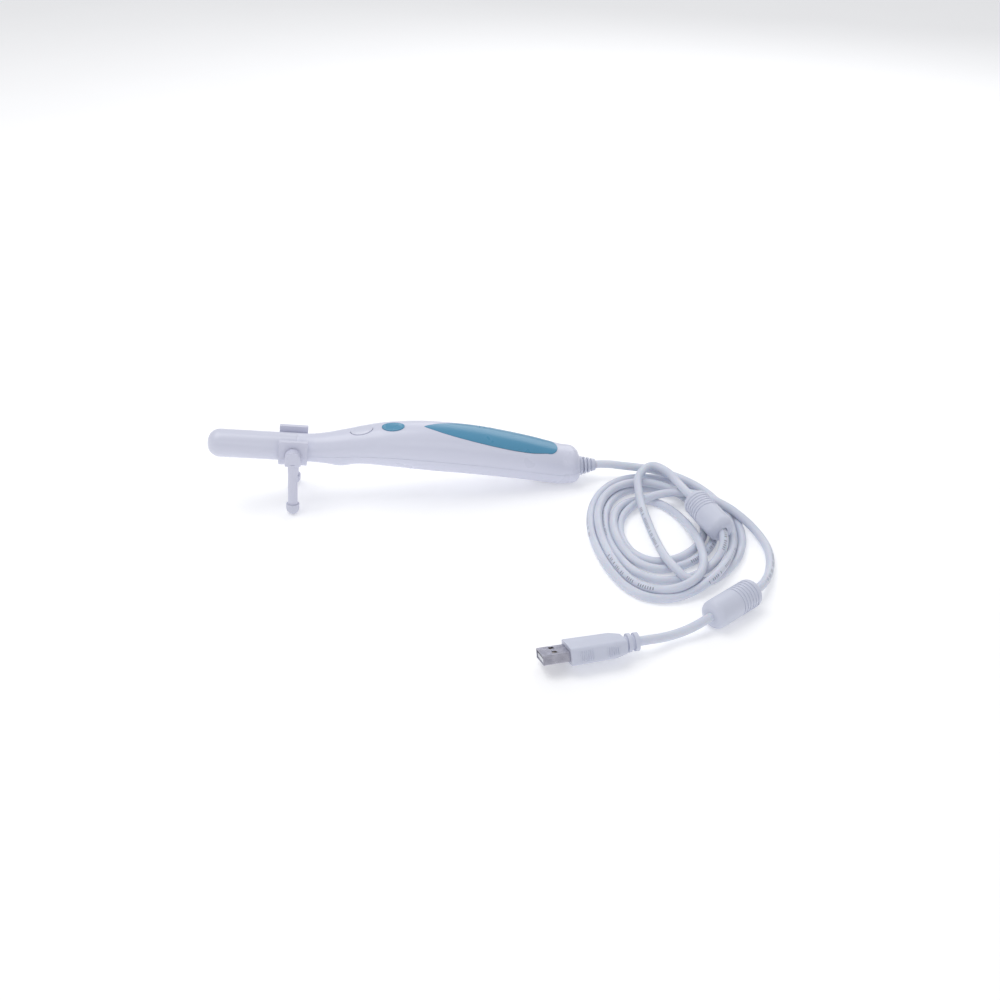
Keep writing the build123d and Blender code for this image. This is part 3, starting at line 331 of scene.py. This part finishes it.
WHITE = srgb(217, 219, 235)
WHITE_2 = srgb(214, 216, 232)
MAT = {
    "barrel": plastic("barrel_plastic", srgb(215, 217, 232), srgb(212, 214, 230), rough=(0.27, 0.31), coat=0.12),
    "casing": plastic("casing_plastic", WHITE, WHITE_2, rough=(0.27, 0.31), coat=0.15),
    "inlay": plastic("inlay_plastic", srgb(84, 149, 183), srgb(80, 145, 180), rough=(0.26, 0.32), coat=0.25, grain=1900.0, grain_bump=0.15),
    "key_blue": plastic("key_blue_plastic", srgb(88, 154, 187), srgb(76, 142, 177), rough=(0.22, 0.32), coat=0.3, grain=1900.0, wear=srgb(150, 192, 212)),
    "key_white": plastic("key_white_plastic", srgb(220, 222, 236), srgb(211, 214, 230), rough=(0.22, 0.30), coat=0.25),
    "clip": plastic("clip_plastic", srgb(214, 215, 231), srgb(204, 206, 223), rough=(0.28, 0.38), grain_bump=0.18),
    "foot": plastic("foot_rubber", srgb(212, 214, 228), srgb(201, 203, 219), rough=(0.45, 0.6), grain=900.0, grain_bump=0.35, sss=0.08),
    "boot": plastic("soft_moulding", srgb(213, 216, 230), srgb(203, 207, 223), rough=(0.36, 0.48), grain=1100.0, grain_bump=0.3, sss=0.1),
    "black_parts": plastic("black_moulding", srgb(30, 31, 34), srgb(22, 22, 25), rough=(0.35, 0.55), grain_bump=0.3, wear=srgb(70, 70, 74)),
    "seal": plastic("seal_rubber", srgb(28, 28, 30), srgb(20, 20, 22), rough=(0.6, 0.8), grain=700.0, grain_bump=0.4),
    "pcb": plastic("board_mask", srgb(24, 92, 60), srgb(16, 74, 48), rough=(0.25, 0.4), wave=420.0, coat=0.2, wear=srgb(150, 150, 96)),
    "chip": plastic("chip_package", srgb(36, 36, 40), srgb(26, 26, 29), rough=(0.45, 0.6), grain=2400.0, grain_bump=0.35),
    "flex": plastic("flex_film", srgb(196, 122, 44), srgb(176, 102, 34), rough=(0.25, 0.35), wave=300.0, coat=0.2),
    "cream_parts": plastic("cream_moulding", srgb(226, 218, 196), srgb(212, 203, 180), rough=(0.4, 0.55), grain_bump=0.25),
    "plug_tongue": plastic("tongue_plastic", srgb(238, 240, 244), srgb(222, 225, 232), rough=(0.35, 0.5), grain_bump=0.2),
    "ferrite": plastic("ferrite_ceramic", srgb(46, 46, 50), srgb(34, 34, 38), rough=(0.5, 0.75), grain=1300.0, grain_bump=0.6),
    "metal_small": metal("plated_steel", srgb(196, 197, 202), srgb(168, 169, 176)),
    "plug_steel": metal("plug_steel", srgb(190, 189, 200), srgb(158, 157, 170), rough=(0.24, 0.40), stretch=(0.06, 1.0, 1.0)),
    "contact": metal("gold_contact", srgb(222, 186, 104), srgb(196, 158, 82)),
    "cable": cable_material("cable_jacket_plain", 0.03, marks=False),
}


def glass_material(name, tint, rough):
    m, nt, bsdf, tc = mat_base(name)
    fine = noise(nt, tc.outputs["Object"], 500.0, 3.0)
    nt.links.new(mix(nt, maprange(nt, fine, 0.3, 0.7, 0.0, 1.0), tint, tuple(c * 0.93 for c in tint[:3]) + (1.0,)), bsdf.inputs["Base Color"])
    nt.links.new(maprange(nt, fine, 0.3, 0.7, rough, rough + 0.04), bsdf.inputs["Roughness"])
    nt.links.new(bump(nt, fine, 0.03, 0.00003), bsdf.inputs["Normal"])
    bsdf.inputs["Transmission Weight"].default_value = 1.0
    bsdf.inputs["IOR"].default_value = 1.5
    return m


def led_material(name):
    m, nt, bsdf, tc = mat_base(name)
    fine = noise(nt, tc.outputs["Object"], 1500.0, 3.0)
    nt.links.new(mix(nt, maprange(nt, fine, 0.35, 0.65, 0.0, 1.0), srgb(244, 238, 200), srgb(236, 214, 120)), bsdf.inputs["Base Color"])
    nt.links.new(maprange(nt, fine, 0.3, 0.7, 0.15, 0.3), bsdf.inputs["Roughness"])
    nt.links.new(bump(nt, fine, 0.2, 0.00004), bsdf.inputs["Normal"])
    bsdf.inputs["Coat Weight"].default_value = 0.5
    return m


MAT["glass"] = glass_material("window_glass_clear", srgb(236, 244, 246), 0.02)
MAT["lens"] = glass_material("lens_coated", srgb(214, 224, 246), 0.01)
MAT["led"] = led_material("led_phosphor")

SLOT = {s["node"]: s["material_slot"] for s in frame["record"]["subparts"] if "material_slot" in s}
for node, ob in NODES.items():
    slot_name = SLOT.get(node, "casing")
    material = MAT.get(slot_name, MAT["casing"])
    if not ob.data.materials:
        ob.data.materials.append(material)
    for i in range(len(ob.data.materials)):
        ob.data.materials[i] = material
cable.data.materials.append(cable_material("cable_jacket", CABLE_LENGTH))


# ---------------------------------------------------------------- casing, as smooth moulded sheets
# The handpiece frame: s runs along the axis from the tip, y across, w up.
PITCH, ROLL = math.radians(7.7), math.radians(9.0)
TIP = Vector((-101.7, 0.5, 36.95))
AX = Vector((math.cos(PITCH), 0.0, -math.sin(PITCH)))
UP0 = Vector((math.sin(PITCH), 0.0, math.cos(PITCH)))
SIDE0 = Vector((0.0, 1.0, 0.0))
UPV = UP0 * math.cos(ROLL) - SIDE0 * math.sin(ROLL)
SIDE = SIDE0 * math.cos(ROLL) + UP0 * math.sin(ROLL)
TAIL_X = 92.9
TAIL_R = 5.0


def hp(s, y, w):
    return TIP + AX * s + SIDE * y + UPV * w


# stations: s, centre height, half width, top, bottom, exponent
ST = [
    (36.0, 0.00, 7.30, 7.30, 7.30, 2.00), (45.0, 0.00, 7.30, 7.30, 7.30, 2.00),
    (50.0, 0.00, 7.30, 7.30, 7.30, 2.00), (54.0, 0.06, 7.46, 7.48, 7.42, 2.04),
    (59.0, 0.37, 7.82, 8.02, 7.85, 2.08), (63.0, 0.85, 8.15, 8.50, 8.85, 2.12),
    (66.5, 1.42, 8.50, 8.90, 10.05, 2.16), (70.0, 2.04, 8.85, 9.20, 10.25, 2.20),
    (73.5, 2.74, 9.22, 9.52, 9.62, 2.20), (78.0, 3.66, 9.75, 9.90, 9.49, 2.20),
    (84.0, 4.66, 10.40, 10.51, 10.28, 2.20), (90.0, 5.28, 11.05, 11.20, 11.12, 2.20),
    (98.0, 5.68, 11.70, 11.80, 11.75, 2.22), (108.0, 5.82, 12.35, 12.45, 12.36, 2.24),
    (120.0, 5.62, 12.68, 12.74, 12.62, 2.25), (132.0, 5.10, 12.68, 12.72, 12.52, 2.25),
    (144.0, 4.16, 12.42, 12.47, 12.28, 2.25), (156.0, 2.82, 11.98, 12.01, 11.82, 2.25),
    (168.0, 1.22, 11.42, 11.45, 11.22, 2.28), (178.0, -0.38, 10.87, 10.90, 10.72, 2.30),
    (185.5, -1.58, 10.42, 10.45, 10.35, 2.32),
]
PARTING = [(40.0, 0.0), (60.0, 0.3), (78.0, 3.4), (96.0, 5.2), (120.0, 5.2),
           (144.0, 3.8), (168.0, 0.9), (184.0, -1.2), (200.0, -1.7)]
INLAY = [(110.0, 0.0), (111.2, 0.72), (113.5, 1.75), (118.0, 3.45), (125.0, 5.35), (134.0, 6.85),
         (143.5, 7.72), (153.0, 8.02), (162.0, 7.88), (170.0, 7.20), (176.7, 5.85)]


def hermite(table, x, col):
    """Monotone cubic through a table's column, so no bulge appears between the stations."""
    n = len(table)
    if x <= table[0][0]:
        return table[0][col]
    if x >= table[-1][0]:
        return table[-1][col]
    i = max(k for k in range(n - 1) if table[k][0] <= x)

    def sl(k):
        return (table[k + 1][col] - table[k][col]) / (table[k + 1][0] - table[k][0])

    def tangent(k):
        if k == 0:
            return sl(0)
        if k == n - 1:
            return sl(n - 2)
        a, b = sl(k - 1), sl(k)
        h0, h1 = table[k][0] - table[k - 1][0], table[k + 1][0] - table[k][0]
        return (a * h1 + b * h0) / (h0 + h1)

    x0, x1 = table[i][0], table[i + 1][0]
    h = x1 - x0
    u = (x - x0) / h
    y0, y1, m0, m1 = table[i][col], table[i + 1][col], tangent(i), tangent(i + 1)
    return ((2 * u ** 3 - 3 * u ** 2 + 1) * y0 + (u ** 3 - 2 * u ** 2 + u) * h * m0
            + (-2 * u ** 3 + 3 * u ** 2) * y1 + (u ** 3 - u ** 2) * h * m1)


def spow(v, e):
    return math.copysign(abs(v) ** e, v)


def ring_point(s, th):
    wc, a, bt, bb, n = (hermite(ST, s, c) for c in range(1, 6))
    c, sn = math.cos(th), math.sin(th)
    return hp(s, a * spow(c, 2 / n), wc + (bt if sn >= 0 else bb) * spow(sn, 2 / n))


def tail_point(th, grow):
    n = 2.32
    c, sn = math.cos(th), math.sin(th)
    return Vector((TAIL_X, 0.3 + (9.95 + grow) * spow(c, 2 / n),
                   9.35 + ((9.95 if sn >= 0 else 9.2) + grow) * spow(sn, 2 / n)))


TAIL_ROWS = [("run", 0.25), ("run", 0.5), ("run", 0.75), ("run", 1.0)] + \
    [("edge", k / 8) for k in range(1, 9)] + [("face", k / 5) for k in range(1, 6)]


def tail_row(kind, q, th):
    """Rows behind the last station: run, rounded edge, flat end face."""
    p0, p1 = ring_point(185.5, th), tail_point(th, 0.0)
    x0 = TAIL_X - TAIL_R
    def on_line(x):
        t = (x - p0.x) / (p1.x - p0.x)
        return p0.lerp(p1, t)
    mid = Vector((0.0, 0.15, 9.2))
    if kind == "run":
        return p0.lerp(on_line(x0), q)
    phi = math.radians(90 * q) if kind == "edge" else math.radians(90)
    x = x0 + TAIL_R * math.sin(phi)
    p = on_line(min(x, TAIL_X))
    d = Vector((0.0, mid.y - p.y, mid.z - p.z))
    r = d.length
    p = p + d / r * TAIL_R * (1 - math.cos(phi))
    if kind == "face":
        rim = Vector((TAIL_X, 4.15 * math.cos(th), 8.95 + 4.15 * math.sin(th)))
        p = p.lerp(rim, q)
    p.x = x
    return p


def theta0(s):
    wc, a, bt, bb, n = (hermite(ST, s, c) for c in range(1, 6))
    wp = hermite(PARTING, s, 1)
    v = (wp - wc) / (bt if wp >= wc else bb)
    return math.asin(max(-0.9, min(0.9, spow(v, n / 2))))


KEYS = [(86.0 - 8.2 * math.cos(math.radians(12.2)), 5.80), (86.0 + 8.2 * math.cos(math.radians(12.2)), 5.80)]
KEY_HALF_L = 5.92 * math.cos(math.radians(12.2))
KEY_HALF_W = 3.42
SCREW_S, SCREW_R = (112.0, 150.0, 178.5), 1.95


def inlay_half(s, grow=0.0):
    """Half width of the inlay: a long point in front and a blunt rounded end behind."""
    if s <= 110.0 or s >= 182.7 + grow:
        return 0.0
    if s > 176.7:
        u = (s - 176.7) / (182.7 + grow - 176.7)
        return (5.85 + grow) * math.sqrt(max(0.0, 1 - u ** 2.3))
    return max(0.0, hermite([(a, b) for a, b in INLAY], max(s, 110.0), 1) + grow * min(1.0, (s - 110.0) / 1.5))


def top_gap(s):
    for sc, _ in KEYS:
        if abs(s - sc) < KEY_HALF_L:
            return KEY_HALF_W * math.sqrt(1 - ((s - sc) / KEY_HALF_L) ** 2)
    return inlay_half(s, 0.10)


def bottom_gap(s):
    for sc in SCREW_S:
        if abs(s - sc) < SCREW_R:
            return math.sqrt(SCREW_R ** 2 - (s - sc) ** 2)
    return 0.0


def rows_for(features, extra):
    rows = set()
    s = 45.05
    while s < 185.5:
        rows.add(round(s, 3))
        s += 1.5
    rows.add(185.5)
    for c, half in features:
        rows = {r for r in rows if not (c - half - 0.5 < r < c + half + 0.5)}
        for k in range(33):
            rows.add(round(c - half * math.cos(math.pi * k / 32), 4))
    for r in extra:
        rows.add(round(r, 4))
    return sorted(rows)


def sheet_mesh(name, bands, thickness):
    """bands: list of grids of points; they are joined, merged and given a wall thickness."""
    verts, faces = [], []
    for grid, flip in bands:
        base = len(verts)
        nr, nc = len(grid), len(grid[0])
        for row in grid:
            verts.extend([(p.x / 1000.0, p.y / 1000.0, p.z / 1000.0) for p in row])
        for i in range(nr - 1):
            for j in range(nc - 1):
                q = [base + i * nc + j, base + i * nc + j + 1, base + (i + 1) * nc + j + 1, base + (i + 1) * nc + j]
                faces.append(q[::-1] if flip else q)
    me = bpy.data.meshes.new(name)
    me.from_pydata(verts, [], faces)
    bm = bmesh.new()
    bm.from_mesh(me)
    bmesh.ops.remove_doubles(bm, verts=bm.verts, dist=0.000004)
    bmesh.ops.dissolve_degenerate(bm, dist=0.000002, edges=bm.edges)
    bmesh.ops.recalc_face_normals(bm, faces=bm.faces)
    bm.to_mesh(me)
    bm.free()
    ob = bpy.data.objects.new(name, me)
    scene.collection.objects.link(ob)
    for p in me.polygons:
        p.use_smooth = True
    # outward means away from the handle's axis line
    sol = ob.modifiers.new("wall", "SOLIDIFY")
    sol.thickness = thickness / 1000.0
    sol.offset = -1.0
    sol.use_even_offset = False
    bev = ob.modifiers.new("soft edges", "BEVEL")
    bev.width = 0.00014
    bev.segments = 2
    bev.limit_method = "ANGLE"
    bev.angle_limit = math.radians(50)
    bev.harden_normals = False
    return ob


def outward(me):
    """Turn the sheet so that its normals leave the handle."""
    c = Vector((-0.015, 0.0, 0.028))
    total = 0.0
    for p in me.polygons:
        q = Vector(p.center)
        s_ = (q * 1000.0 - TIP).dot(AX)
        mid = hp(s_, 0.0, hermite(ST, s_, 1)) / 1000.0
        total += p.area * (q - mid).dot(p.normal)
    if total < 0:
        me.flip_normals()


def casing_half(name, upper):
    feats = [(sc, KEY_HALF_L) for sc, _ in KEYS] if upper else [(sc, SCREW_R) for sc in SCREW_S]
    extra = []
    if upper:
        extra = [109.9, 110.0, 110.15, 110.4, 110.8, 111.3, 112.0] + [182.8 - 6.1 * (1 - math.cos(math.pi / 2 * k / 14)) for k in range(15)]
    rows = rows_for(feats, extra)
    gap = top_gap if upper else bottom_gap
    seam = 0.0032
    grids = []
    nc = 26
    for side in (1, -1):
        grid = []
        for s in rows:
            n = hermite(ST, s, 5)
            a = hermite(ST, s, 2)
            g = gap(s)
            inner = math.acos(min(1.0, (g / a) ** (n / 2)))
            t0 = theta0(s)
            row = []
            for j in range(nc + 1):
                u = j / nc
                if upper:
                    th = (t0 + seam) * (1 - u) + inner * u
                else:
                    th = (t0 - seam) * (1 - u) - inner * u
                if side < 0:
                    th = math.pi - th
                row.append(ring_point(s, th))
            grid.append(row)
        t_end = theta0(185.5)
        for kind, q in TAIL_ROWS:
            k = TAIL_ROWS.index((kind, q)) / (len(TAIL_ROWS) - 1)
            t0 = t_end * (1 - k) + 0.0 * k
            row = []
            for j in range(nc + 1):
                u = j / nc
                if upper:
                    th = (t0 + seam) * (1 - u) + math.pi / 2 * u
                else:
                    th = (t0 - seam) * (1 - u) - math.pi / 2 * u
                if side < 0:
                    th = math.pi - th
                row.append(tail_row(kind, q, th))
            grid.append(row)
        grids.append((grid, (side > 0) == upper))
    ob = sheet_mesh(name, grids, 1.15)
    outward(ob.data)
    return ob


casing_upper = casing_half("casing_upper", True)
casing_lower = casing_half("casing_lower", False)

# the inlaid panel: a crowned blade set flush in its pocket
inlay_rows = [110.03 + 1.97 * (1 - math.cos(math.pi / 2 * k / 8)) for k in range(0, 9)]
inlay_rows += [112.0 + k * 1.35 for k in range(1, 48)]
inlay_rows = [r for r in inlay_rows if r < 176.6]
inlay_rows += [176.7 + 5.99 * math.sin(math.pi / 2 * k / 18) for k in range(0, 19)]
grid = []
for s in inlay_rows:
    hw = inlay_half(s, 0.0)
    wc, a, bt, bb, n = (hermite(ST, s, c) for c in range(1, 6))
    row = []
    for j in range(33):
        v = -math.cos(math.pi * j / 32)
        y = hw * v
        w = wc + bt * (1 - abs(y / a) ** n) ** (1 / n)
        row.append(hp(s, y, w + 0.10))
    grid.append(row)
inlay_panel = sheet_mesh("inlay_panel", [(grid, False)], 1.05)
outward(inlay_panel.data)
inlay_panel.modifiers["soft edges"].width = 0.00022
inlay_panel.modifiers["soft edges"].segments = 3

for ob, node, slot_name in ((casing_upper, "upper_shell", "casing"), (casing_lower, "lower_shell", "casing"),
                            (inlay_panel, "grip_inlay", "inlay")):
    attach(ob, "handpiece")
    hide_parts(node)
    ob.data.materials.append(MAT[slot_name])


# ---------------------------------------------------------------- moulded pieces with their edge radii
def softened(node, width_mm, slot_name, angle=35, segments=3):
    """The moulded piece at a CAD node's place, with the small edge radii that moulding leaves."""
    src = NODES[node]
    bm = bmesh.new()
    bm.from_mesh(src.data)
    bmesh.ops.remove_doubles(bm, verts=bm.verts, dist=0.000002)
    bmesh.ops.dissolve_limit(bm, angle_limit=math.radians(0.6), verts=bm.verts, edges=bm.edges)
    me = bpy.data.meshes.new(node + "_moulded")
    bm.to_mesh(me)
    bm.free()
    for p in me.polygons:
        p.use_smooth = True
    ob = bpy.data.objects.new(node + "_moulded", me)
    scene.collection.objects.link(ob)
    bev = ob.modifiers.new("radii", "BEVEL")
    bev.width = width_mm / 1000.0
    bev.segments = segments
    bev.limit_method = "ANGLE"
    bev.angle_limit = math.radians(angle)
    bev.miter_outer = "MITER_ARC"
    wn = ob.modifiers.new("shading", "WEIGHTED_NORMAL")
    wn.keep_sharp = False
    ob.data.materials.append(MAT[slot_name])
    return ob


for node, width, slot_name, body in (("clip_saddle", 0.45, "clip", "clip"), ("leg_near", 0.3, "clip", "leg_near"),
                                     ("leg_far", 0.3, "clip", "leg_far"), ("plug_overmould", 0.35, "boot", "handpiece")):
    ob = softened(node, width, slot_name)
    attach(ob, body)
    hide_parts(node)

# grip ribs on both narrow sides of the plug's moulded body
PLUG_DIR = Vector((-1.0, -0.118, 0.0)).normalized()
PLUG_C = Vector((93.4, -147.0, 6.9))
P_SIDE = Vector((0.0, 0.0, 1.0)).cross(PLUG_DIR).normalized()
ROLL_P = math.radians(22.0)
P_UP = Vector((0.0, 0.0, 1.0)) * math.cos(ROLL_P) - P_SIDE * math.sin(ROLL_P)
P_ACR = P_SIDE * math.cos(ROLL_P) + Vector((0.0, 0.0, 1.0)) * math.sin(ROLL_P)
rib_bm = bmesh.new()
for sgn in (1, -1):
    for start, count in ((28.4, 7), (16.0, 6)):
        for k in range(count):
            at = PLUG_C + PLUG_DIR * (start - 0.95 * k) + P_ACR * (sgn * 7.75)
            half = 2.5 - (0.12 * k if start < 20 else 0.0)
            ring0 = []
            for ang in range(13):
                f = math.pi * ang / 12
                ring0.append((math.cos(f) * 0.26, math.sin(f) * 0.52))
            loops = []
            for h, sc in ((-half, 0.15), (-half + 0.12, 0.7), (-half + 0.4, 1.0), (half - 0.4, 1.0), (half - 0.12, 0.7), (half, 0.15)):
                loop = []
                for dx, dy in ring0:
                    p = at + PLUG_DIR * (dx * (0.5 + 0.5 * sc)) + P_ACR * (sgn * dy * sc) + P_UP * h
                    loop.append(rib_bm.verts.new(p / 1000.0))
                loops.append(loop)
            for l0, l1 in zip(loops, loops[1:]):
                for i in range(12):
                    rib_bm.faces.new((l0[i], l0[i + 1], l1[i + 1], l1[i]))
                rib_bm.faces.new((l0[12], l0[0], l1[0], l1[12]))
            rib_bm.faces.new(loops[0][::-1])
            rib_bm.faces.new(loops[-1])
bmesh.ops.recalc_face_normals(rib_bm, faces=rib_bm.faces)
rib_me = bpy.data.meshes.new("plug_ribs")
rib_bm.to_mesh(rib_me)
rib_bm.free()
for p in rib_me.polygons:
    p.use_smooth = len(p.vertices) == 4
plug_ribs = bpy.data.objects.new("plug_ribs", rib_me)
scene.collection.objects.link(plug_ribs)
plug_ribs.data.materials.append(MAT["boot"])
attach(plug_ribs, "handpiece")

# ---------------------------------------------------------------- floor and light
bpy.ops.mesh.primitive_plane_add(size=8.0, location=(0.0, 0.0, -0.00005))
floor = bpy.context.object
floor.name = "floor"
fm, fnt, fb, ftc = mat_base("floor_paper")
fn = noise(fnt, ftc.outputs["Object"], 9.0, 3.0)
fnt.links.new(mix(fnt, maprange(fnt, fn, 0.3, 0.7, 0.0, 1.0), (0.93, 0.93, 0.935, 1.0), (0.915, 0.915, 0.92, 1.0)), fb.inputs["Base Color"])
fnt.links.new(maprange(fnt, fn, 0.3, 0.7, 0.75, 0.85), fb.inputs["Roughness"])
fb.inputs["Specular IOR Level"].default_value = 0.15
fb.inputs["Emission Color"].default_value = (1.0, 1.0, 1.0, 1.0)
fb.inputs["Emission Strength"].default_value = 0.22
floor.data.materials.append(fm)

world = bpy.data.worlds.new("studio")
scene.world = world
world.use_nodes = True
bg = world.node_tree.nodes["Background"]
bg.inputs["Color"].default_value = (0.96, 0.97, 1.0, 1.0)
bg.inputs["Strength"].default_value = 0.55


def area(name, loc, target, size, power, colour=(1.0, 1.0, 1.0)):
    d = bpy.data.lights.new(name, "AREA")
    d.shape = "RECTANGLE"
    d.size, d.size_y = size
    d.energy = power
    d.color = colour
    o = bpy.data.objects.new(name, d)
    scene.collection.objects.link(o)
    o.location = loc
    o.rotation_euler = (Vector(target) - Vector(loc)).to_track_quat("-Z", "Y").to_euler()
    return o


area("key", (-0.35, 0.15, 1.15), (0.03, -0.03, 0.0), (0.9, 0.9), 5.6, (1.0, 0.995, 0.985))
area("front", (0.25, -1.2, 0.75), (0.04, -0.05, 0.0), (1.2, 0.7), 1.6, (0.97, 0.98, 1.0))
area("rim", (0.45, 0.85, 0.6), (0.05, 0.0, 0.01), (0.8, 0.5), 2.0, (0.98, 0.99, 1.0))
scene.view_settings.view_transform = "Standard"
scene.view_settings.look = "None"

# ---------------------------------------------------------------- final scene update


bpy.context.view_layer.update()
